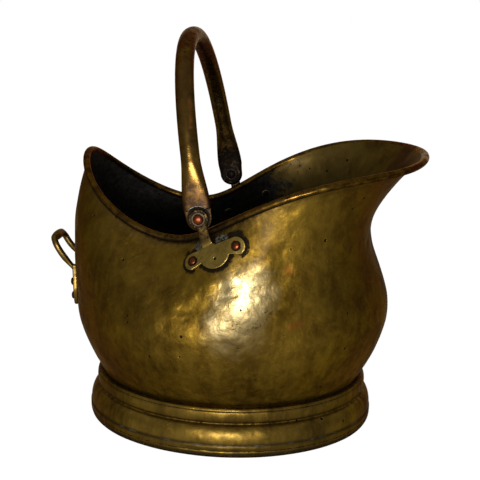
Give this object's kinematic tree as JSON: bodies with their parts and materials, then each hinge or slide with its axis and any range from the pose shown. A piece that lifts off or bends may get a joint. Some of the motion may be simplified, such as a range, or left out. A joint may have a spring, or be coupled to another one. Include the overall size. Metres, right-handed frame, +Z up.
{
  "type": "coal scuttle",
  "caption": "Hammered brass coal scuttle with a raised pouring spout, a round foot, a swinging bail and a fixed rear hand grip.",
  "frame": {"origin": "middle of the underside of the foot, on the floor", "axes": "+Z up, +X towards the spout, +Y to the left side"},
  "size_m": [0.393, 0.328, 0.4059],
  "materials": {
    "hammered_brass": "hammered, aged and worn",
    "spun_brass": "spun, aged",
    "bail_brass": "drawn tube, aged, polished by hands",
    "worn_brass": "cast and filed, aged",
    "dark_brass": "tarnished",
    "copper": "copper, aged"
  },
  "bodies": {
    "scuttle": {"body_shell": "hammered_brass", "rim_wire": "dark_brass", "bottom_plate": "dark_brass", "foot_ring": "spun_brass", "lug_right": "worn_brass", "lug_left": "worn_brass", "lug_rivet_right_front": "copper", "lug_rivet_right_back": "copper", "lug_rivet_left_front": "copper", "lug_rivet_left_back": "copper", "lug_burr_right_front": "copper", "lug_burr_right_back": "copper", "lug_burr_left_front": "copper", "lug_burr_left_back": "copper", "pivot_rivet_right": "copper", "pivot_rivet_left": "copper", "pivot_washer_right_outer": "dark_brass", "pivot_washer_right_inner": "dark_brass", "pivot_washer_left_outer": "dark_brass", "pivot_washer_left_inner": "dark_brass", "rear_handle": "worn_brass", "grip_rivet_right_upper": "copper", "grip_rivet_right_lower": "copper", "grip_rivet_left_upper": "copper", "grip_rivet_left_lower": "copper", "grip_burr_right_upper": "copper", "grip_burr_right_lower": "copper", "grip_burr_left_upper": "copper", "grip_burr_left_lower": "copper"},
    "bail": {"bail": "bail_brass"}
  },
  "joints": [
    {"name": "bail_swing", "type": "hinge", "parent": "scuttle", "child": "bail", "pos_m": [-0.02013, 0, 0.23336], "axis": [0, 1, 0], "range_deg": [-91, 67]}
  ]
}
